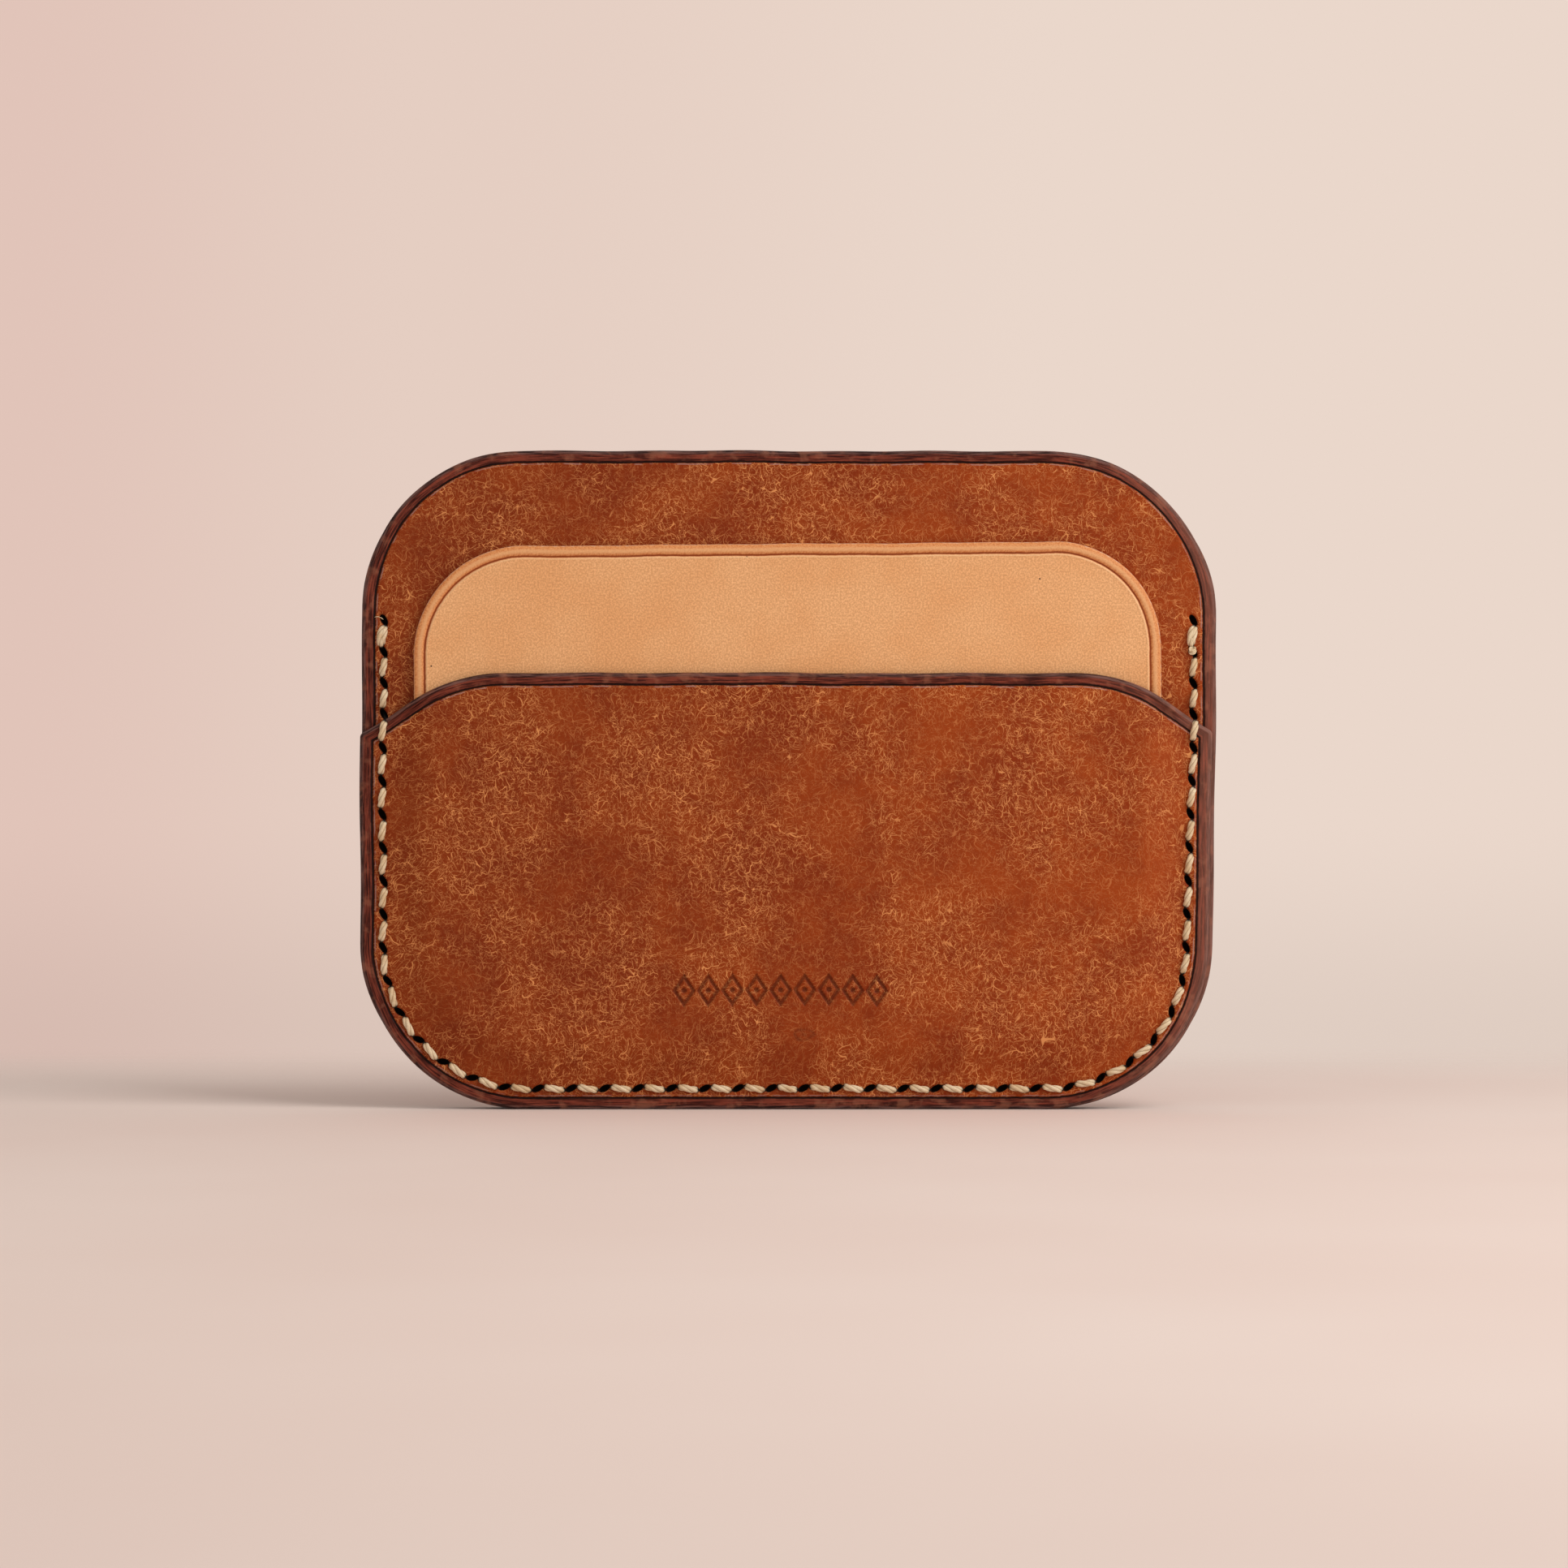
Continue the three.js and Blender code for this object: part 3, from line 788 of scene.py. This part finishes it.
def make_natural_leather():
    """Undyed leather: pale tan with a fine pebbled grain, and a darker waxed border with painted
    highlights on its bead and beside the crease.
    """
    material, tree, shader, add = new_material("natural_leather")
    place = millimetres(add)
    inset = attribute(add, "inset")
    tone = noise(add, place, 0.09, 4.0, 15.0, 0.6).outputs["Fac"]
    base = blend_colour(add, band(add, tone, 0.3, 0.7), colour("F6BA80"), colour("FCC68E"))
    grain = noise(add, place, 4.6, 3.0, 27.0, 0.7).outputs["Fac"]
    base = blend_colour(add, band(add, grain, 0.38, 0.66, 0.55, 0.0), base, colour("C98650"))
    cells = add("ShaderNodeTexVoronoi", {"Vector": place, "Scale": 0.05}, voronoi_dimensions="2D")
    fleck = band(add, cells.outputs["Distance"], 0.003, 0.007, 1.0, 0.0)
    base = blend_colour(add, fleck, base, colour("4A2412"))
    mottle = noise(add, place, 1.2, 3.0, 51.0, 0.6).outputs["Fac"]
    wobble = maths(add, "MULTIPLY_ADD", mottle, 0.12, -0.06)
    inset_cut = maths(add, "ADD", inset, wobble)
    waxed = blend_colour(add, band(add, grain, 0.35, 0.65), colour("D17F46"), colour("E9A468"))
    # Painted highlight: a paler line along the middle of the rounded border bead.
    off_bead_highlight = away_from(add, inset_cut, DIVIDER_BEAD)
    waxed = blend_colour(add, band(add, off_bead_highlight, 0.05, 0.40, 0.55, 0.0), waxed, colour("F2BE88"))
    skin = blend_colour(add, band(add, inset_cut, DIVIDER_CREASE - 0.05, DIVIDER_CREASE + 0.15),
                        waxed, base)
    off_crease = away_from(add, inset_cut, DIVIDER_CREASE)
    skin = blend_colour(add, band(add, off_crease, 0.04, 0.17, 0.95, 0.0), skin, colour("9A4212"))
    # Painted highlight: a thin pale line just inside the crease, on the raised lip.
    off_lip_highlight = away_from(add, inset_cut, DIVIDER_CREASE + 0.26)
    skin = blend_colour(add, band(add, off_lip_highlight, 0.04, 0.12, 0.5, 0.0), skin, colour("F4CC9C"))
    raw = noise(add, place, 2.0, 3.0, 33.0).outputs["Fac"]
    cut_edge = maths(add, "ADD", inset, maths(add, "MULTIPLY", raw, 0.35))
    skin = blend_colour(add, band(add, cut_edge, 0.14, 0.32, 0.85, 0.0), skin, colour("E9C4A4"))
    nap = noise(add, place, 4.0, 4.0, 3.0, 0.7).outputs["Fac"]
    suede = blend_colour(add, band(add, nap, 0.35, 0.65), colour("CBA27C"), colour("E6C5A2"))
    skin = blend_colour(add, attribute(add, "flesh"), skin, suede)
    tree.links.new(skin, shader.inputs["Base Color"])
    rough = maths(add, "MULTIPLY_ADD", grain, 0.2, 0.40)
    tree.links.new(rough, shader.inputs["Roughness"])
    shader.inputs["Specular IOR Level"].default_value = 0.3
    bump = add("ShaderNodeBump", {"Height": grain, "Strength": 0.5, "Distance": 0.04 * MM})
    tree.links.new(bump.outputs["Normal"], shader.inputs["Normal"])
    return material


NATURAL_LEATHER = make_natural_leather()


def make_divider():
    """The divider, as wide and deep as its pocket lets it be."""
    low, high = [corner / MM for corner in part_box("divider")]
    corners = [
        (low.x, low.z, DIVIDER_RADII[0]),
        (high.x, low.z, DIVIDER_RADII[1]),
        (high.x, high.z + DIVIDER_RIGHT_HIGH, DIVIDER_RADII[2]),
        (low.x, high.z - DIVIDER_LEFT_LOW, DIVIDER_RADII[3]),
    ]
    divider = cut_sheet("divider_leather", corners, -1, flat_at("divider"), divider_sink,
                        step=2.0, edge_round=0.35, wander=divider_wander)
    divider.data.materials.append(NATURAL_LEATHER)
    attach(divider, "divider")
    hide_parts("divider")


make_divider()

# ---------------------------------------------------------------------------------------------
# Front pocket. The same waxy leather, sewn and glued to the panels along its sides and bottom;
# its mouth falls away at both shoulders. The divider behind it bows its middle out. A small
# row of lozenges is blind-pressed into it, low down.

POCKET_RIGHT_SHORT = 0.55
POCKET_SLITS = [slit for slit in SLITS if slit[0][1] < 46]
SHOULDER_FLAT = 34.0
SHOULDER_RADIUS = 18.0
SHOULDER_TURN = math.radians(33)
SHOULDER_CORNER = SHOULDER_FLAT + SHOULDER_RADIUS * math.tan(SHOULDER_TURN / 2)
SHOULDER_END_RADIUS = 0.7
MOUTH_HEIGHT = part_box("front_pocket")[1].z / MM - TOP_TRIM
BOW = 1.38
BOW_INSIDE = (3.2, 5.9)
BOW_OUTSIDE = (2.9, 9.0)
LOZENGES = 9
LOZENGE_PITCH = 2.85
LOZENGE_HALF_WIDTH = 1.12
LOZENGE_HALF_HEIGHT = 1.62
LOZENGE_ROW = (-0.9, 14.2)
KNOT_MIDDLE = (1.9, 8.9)


def seam_distance(place):
    """How far points (x, z) lie from the holder's sides and bottom, whichever is nearest."""
    half_width = cad_box[1].x / MM
    across = np.abs(place[:, 0]) - (half_width - HOLDER_CORNER)
    down = HOLDER_CORNER - place[:, 1]
    straight = np.minimum(half_width - np.abs(place[:, 0]), place[:, 1])
    round_corner = HOLDER_CORNER - np.hypot(across, down)
    return np.where((across > 0) & (down > 0), round_corner, straight)


def lozenge_depth(place):
    """How far the row of lozenges is pressed in at points (x, z), from 0 to 1."""
    x = place[:, 0] - LOZENGE_ROW[0]
    z = place[:, 1] - LOZENGE_ROW[1]
    nearest = np.round(x / LOZENGE_PITCH + (LOZENGES - 1) / 2)
    nearest = np.clip(nearest, 0, LOZENGES - 1) - (LOZENGES - 1) / 2
    x = np.abs(x - nearest * LOZENGE_PITCH)
    z = np.abs(z)
    slope = math.hypot(1 / LOZENGE_HALF_WIDTH, 1 / LOZENGE_HALF_HEIGHT)
    from_line = np.abs((x / LOZENGE_HALF_WIDTH + z / LOZENGE_HALF_HEIGHT - 1) / slope)
    from_dot = np.hypot(x, z)
    line = 1 - np.clip((from_line - 0.13) / 0.12, 0, 1)
    dot = 1 - np.clip((from_dot - 0.24) / 0.12, 0, 1)
    return soft_step(np.maximum(line, dot), 0, 1)


def knot_shade(place):
    """A small healed mark in the hide, near the middle of the pocket's foot."""
    x = (place[:, 0] - KNOT_MIDDLE[0]) / 1.5
    z = (place[:, 1] - KNOT_MIDDLE[1]) / 0.85
    away = np.hypot(x, z)
    swirl = 0.25 * np.sin(3 * np.arctan2(z, x) + 5 * away)
    ring = np.exp(-(((away - 0.72 + swirl * 0.4) / 0.16) ** 2))
    return np.clip(0.8 * ring + 0.7 * np.exp(-((away / 0.3) ** 2)), 0, 1)


def pocket_level(place):
    """The depth of the pocket's middle layer: sewn flat at the seam, bowed out by the divider."""
    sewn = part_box("front_pocket")[1].y / MM - LEATHER / 2
    return sewn - BOW * soft_step(seam_distance(place), *BOW_INSIDE)


def pocket_slits(place):
    """The slits of the pocket, which is sewn only below its mouth."""
    return slit_depth(place, POCKET_SLITS)


def pocket_sink(place, inset):
    """What is pressed in, and where the outer face bows out more gently than the inner one."""
    away = seam_distance(place)
    slack = BOW * (soft_step(away, *BOW_INSIDE) - soft_step(away, *BOW_OUTSIDE))
    channel = slack + 0.07 * np.exp(-(((away - SEAM_INSET) / 0.55) ** 2))
    marks = 0.20 * lozenge_depth(place) + 0.05 * knot_shade(place)
    return edge_sink(inset, CREASE_DEPTH) + channel + SLIT_DEPTH * pocket_slits(place) + marks


def fine_points(middle, half_width, half_height, spacing):
    """A close grid of points (x, z) where something small is pressed into the leather."""
    x, z = np.meshgrid(np.arange(-half_width, half_width, spacing),
                       np.arange(-half_height, half_height, spacing))
    return np.stack([x.ravel() + middle[0], z.ravel() + middle[1]], axis=1)


def make_pocket():
    """The pocket, a little short at the right, with straight slopes beyond its round shoulders."""
    low, high = [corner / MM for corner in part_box("front_pocket")]
    drop = (high.x - SHOULDER_CORNER) * math.tan(SHOULDER_TURN)
    right = high.x - POCKET_RIGHT_SHORT
    right_drop = (right - SHOULDER_CORNER) * math.tan(SHOULDER_TURN)
    corners = [
        (low.x, 0.0, PANEL_RADII[0]),
        (right, 0.0, PANEL_RADII[1]),
        (right, MOUTH_HEIGHT - right_drop, SHOULDER_END_RADIUS),
        (SHOULDER_CORNER, MOUTH_HEIGHT, SHOULDER_RADIUS),
        (-SHOULDER_CORNER, MOUTH_HEIGHT, SHOULDER_RADIUS),
        (low.x, MOUTH_HEIGHT - drop, SHOULDER_END_RADIUS),
    ]
    half_row = LOZENGES * LOZENGE_PITCH / 2 + 0.4
    fine = np.concatenate([
        fine_points(LOZENGE_ROW, half_row, LOZENGE_HALF_HEIGHT + 0.5, 0.13),
        fine_points(KNOT_MIDDLE, 1.9, 1.1, 0.17),
    ])
    shades = {"slit": pocket_slits, "pressed": lozenge_depth, "knot": knot_shade}
    pocket = cut_sheet("front_pocket_leather", corners, -1, pocket_level, pocket_sink,
                       step=1.1, extra=fine, shades=shades)
    pocket.data.materials.append(TAN_LEATHER)
    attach(pocket, "holder")
    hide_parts("front_pocket")


make_pocket()

# ---------------------------------------------------------------------------------------------
# Seam thread. Waxed linen of three twisted strands, saddle-stitched: two lengths pass each
# other in every slit, so that both faces show a full row of slanted stitches. The top stitch
# on each side is doubled; the right one is tied off, and the left one leaves a short wisp.

STRAND_AWAY = 0.170
STRAND_RADIUS = 0.250
TWIST_LENGTH = 3.9
STITCH_RISE = 0.40
TIED_THICKNESS = 0.5
WISP_THICKNESS = 0.12
EXIT = 0.70
EXIT_TURN = math.radians(20)
THREAD_SIDES = 18


def front_of_leather(place):
    """The depth of the front face under a stitch at each point (x, z)."""
    pocket_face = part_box("front_pocket")[1].y / MM - LEATHER
    panel_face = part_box("middle_panel")[0].y / MM
    down_slope = np.clip(np.abs(place[:, 0]) - SHOULDER_CORNER, 0, 20)
    mouth = MOUTH_HEIGHT - down_slope * math.tan(SHOULDER_TURN)
    above = soft_step(place[:, 1] - mouth, -0.35, 0.65)
    return pocket_face + (panel_face - pocket_face) * above


def stitch_points(start, end, on_front, bulge=STITCH_RISE, sideways=0.0):
    """One stitch from slit to slit as points (x, y, z) that rise out, lie flat and dive in."""
    steps = [0.0, 0.03, 0.10, 0.22, 0.4, 0.5, 0.6, 0.78, 0.90, 0.97, 1.0]
    rises = [-1.25, -0.60, 0.02, 0.28, 0.36, 0.37, 0.36, 0.28, 0.02, -0.60, -1.25]
    across = np.array([-(end - start)[1], (end - start)[0]]) / np.linalg.norm(end - start)
    flat = np.array([start + (end - start) * t for t in steps])
    flat = flat + across * sideways * np.sin(np.pi * np.array(steps))[:, None]
    out = np.array(rises) * bulge / STITCH_RISE
    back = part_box("rear_panel")[1].y / MM
    depth = front_of_leather(flat) - out if on_front else back + out
    return np.stack([flat[:, 0], depth, flat[:, 1]], axis=1)


def slit_end(slit, side):
    """Where a stitch passes a slit: ahead of its middle along the seam (1) or behind it (-1)."""
    middle, heading = slit
    end = middle + slit_axis(heading, EXIT_TURN) * EXIT * side
    return hand_cut(end[None, :])[0]


def sewn_path(front_first):
    """The path of one length of thread, in and out from the first slit to the last."""
    points = []
    for i in range(len(SLITS) - 1):
        on_front = (i % 2 == 0) == front_first
        here, there = SLITS[i], SLITS[i + 1]
        points.append(stitch_points(slit_end(here, 1), slit_end(there, -1), on_front))
    return np.concatenate(points)


def smooth_path(points, step, reach):
    """The same path at even steps, its bends rounded over a given length."""
    run = np.concatenate([[0], np.cumsum(np.linalg.norm(np.diff(points, axis=0), axis=1))])
    even = np.arange(0, run[-1], step)
    path = np.stack([np.interp(even, run, points[:, k]) for k in range(3)], axis=1)
    width = max(1, round(reach / step / 2))
    kernel = np.hanning(2 * width + 3)[1:-1]
    kernel /= kernel.sum()
    padded = np.concatenate([[path[0]] * width, path, [path[-1]] * width])
    return np.stack([np.convolve(padded[:, k], kernel, "valid") for k in range(3)], axis=1)


def frame_along(path):
    """Two directions square to a path at each of its points, turning as little as they can."""
    ahead = np.gradient(path, axis=0)
    ahead /= np.linalg.norm(ahead, axis=1)[:, None]
    side = np.zeros_like(path)
    before = np.cross(ahead[0], [0.3, 0.5, 0.8])
    for i in range(len(path)):
        square = before - ahead[i] * (before @ ahead[i])
        side[i] = square / np.linalg.norm(square)
        before = side[i]
    return side, np.cross(ahead, side)


def twist_tube(path, turn_at=0.0, thickness=1.0):
    """The skin of a three-strand thread laid along a path, and how far each point stands out."""
    side, other = frame_along(path)
    run = np.concatenate([[0], np.cumsum(np.linalg.norm(np.diff(path, axis=0), axis=1))])
    angle = np.arange(THREAD_SIDES) * 2 * np.pi / THREAD_SIDES
    lobe = (angle + np.pi / 3) % (2 * np.pi / 3) - np.pi / 3
    inside = np.maximum(STRAND_RADIUS**2 - (STRAND_AWAY * np.sin(lobe)) ** 2, 0.0)
    radius = STRAND_AWAY * np.cos(lobe) + np.sqrt(inside)
    turn = turn_at + 2 * np.pi * run / TWIST_LENGTH
    ends = np.clip(np.minimum(run, run[-1] - run) / 0.25, 0.05, 1) ** 0.5
    proud = np.maximum(front_of_leather(path[:, [0, 2]]) - path[:, 1],
                       path[:, 1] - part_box("rear_panel")[1].y / MM)
    out = soft_step(proud, -0.35, 0.30)
    reach = radius[None, :] * (thickness * ends * (0.62 + 0.38 * out))[:, None]
    c = np.cos(angle[None, :] + turn[:, None]) * reach
    s = np.sin(angle[None, :] + turn[:, None]) * reach
    skin = path[:, None, :] + side[:, None, :] * c[..., None] + other[:, None, :] * s[..., None]
    rows = len(path)
    a = np.arange(rows - 1)[:, None] * THREAD_SIDES + np.arange(THREAD_SIDES)[None, :]
    b = np.roll(a, -1, axis=1)
    quads = np.stack([a, b, b + THREAD_SIDES, a + THREAD_SIDES], axis=2).reshape(-1, 4)
    crown = (radius - radius.min()) / (radius.max() - radius.min())
    return skin.reshape(-1, 3), quads, np.tile(crown, rows), np.repeat(out, THREAD_SIDES)


def make_waxed_thread():
    """Waxed linen: cream, with painted shade where the strands meet and painted near-black shade
    where it sinks into the slits.
    """
    material, tree, shader, add = new_material("waxed_thread")
    place = millimetres(add)
    crown = attribute(add, "crown")
    soil = noise(add, place, 0.45, 4.0, 9.0, 0.6).outputs["Fac"]
    hairs = noise(add, place, 6.0, 3.0, 13.0, 0.7).outputs["Fac"]
    pale = blend_colour(add, band(add, soil, 0.35, 0.7), colour("F0DEBC"), colour("DCC096"))
    pale = blend_colour(add, band(add, hairs, 0.40, 0.70, 0.0, 0.35), pale, colour("BE9C6E"))
    # Painted shade: darker in the grooves where the strands meet.
    pale = blend_colour(add, band(add, crown, 0.0, 0.5, 0.55, 0.0), pale, colour("8A6840"))
    # Painted shade: the thread is coloured near black where it sinks below the leather's face into
    # the slits.
    skin = blend_colour(add, band(add, attribute(add, "out"), 0.60, 1.0), colour("0B0502"), pale)
    tree.links.new(skin, shader.inputs["Base Color"])
    shader.inputs["Roughness"].default_value = 0.55
    shader.inputs["Specular IOR Level"].default_value = 0.4
    bump = add("ShaderNodeBump", {"Height": hairs, "Strength": 0.6, "Distance": 0.06 * MM})
    tree.links.new(bump.outputs["Normal"], shader.inputs["Normal"])
    return material


WAXED_THREAD = make_waxed_thread()


def knot_path():
    """The small knot at the last slit but one, at the right: two turns, one on the other."""
    turn = np.linspace(0, 4.2 * np.pi, 60)
    x, z = SLITS[-2][0] + np.array([0.1, -0.2])
    return np.stack([x + 0.30 * np.cos(turn), -0.62 - 0.14 * np.sin(1.5 * turn),
                     z + 0.27 * np.sin(turn) + 0.05 * turn], axis=1)


def wisp_path():
    """The cut end that stands out of the top slit at the left."""
    run = np.linspace(0, 1, 20)
    x, z = SLITS[0][0] + np.array([0.0, 0.05])
    return np.stack([x - 1.1 * run, -0.72 - 0.3 * run, z + 0.35 * np.sin(2.4 * run)], axis=1)


def make_thread():
    """All of the thread as one piece: two sewn lengths, two doubled stitches, knot and wisp."""
    first = stitch_points(slit_end(SLITS[0], 0.9), slit_end(SLITS[1], -0.6), True, 0.42, -0.45)
    last = stitch_points(slit_end(SLITS[-2], 0.6), slit_end(SLITS[-1], -0.9), True, 0.42, 0.42)
    lengths = [
        (smooth_path(sewn_path(True), 0.16, 0.5), 1.0),
        (smooth_path(sewn_path(False), 0.16, 0.5), 1.0),
        (smooth_path(first, 0.1, 0.4), 1.0),
        (smooth_path(last, 0.1, 0.4), 1.0),
        (smooth_path(knot_path(), 0.08, 0.16), TIED_THICKNESS),
        (smooth_path(wisp_path(), 0.08, 0.16), WISP_THICKNESS),
    ]
    points, faces, crowns, outs, start = [], [], [], [], 0
    for i, (path, thickness) in enumerate(lengths):
        skin, quads, crown, out = twist_tube(path, 1.3 * i, thickness)
        first_cap = list(range(start, start + THREAD_SIDES))[::-1]
        last_cap = list(range(start + len(skin) - THREAD_SIDES, start + len(skin)))
        points.append(skin)
        faces += (quads + start).tolist() + [first_cap, last_cap]
        crowns.append(crown)
        outs.append(out)
        start += len(skin)
    mesh = bpy.data.meshes.new("seam_thread_linen")
    mesh.from_pydata((np.concatenate(points) * MM).tolist(), [], faces)
    mesh.polygons.foreach_set("use_smooth", np.ones(len(mesh.polygons), bool))
    for key, values in (("crown", crowns), ("out", outs)):
        flat = np.concatenate(values).astype("f")
        mesh.attributes.new(key, "FLOAT", "POINT").data.foreach_set("value", flat)
    mesh.update()
    thread = bpy.data.objects.new("seam_thread_linen", mesh)
    bpy.context.scene.collection.objects.link(thread)
    thread.data.materials.append(WAXED_THREAD)
    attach(thread, "holder")
    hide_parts("seam_thread")


make_thread()
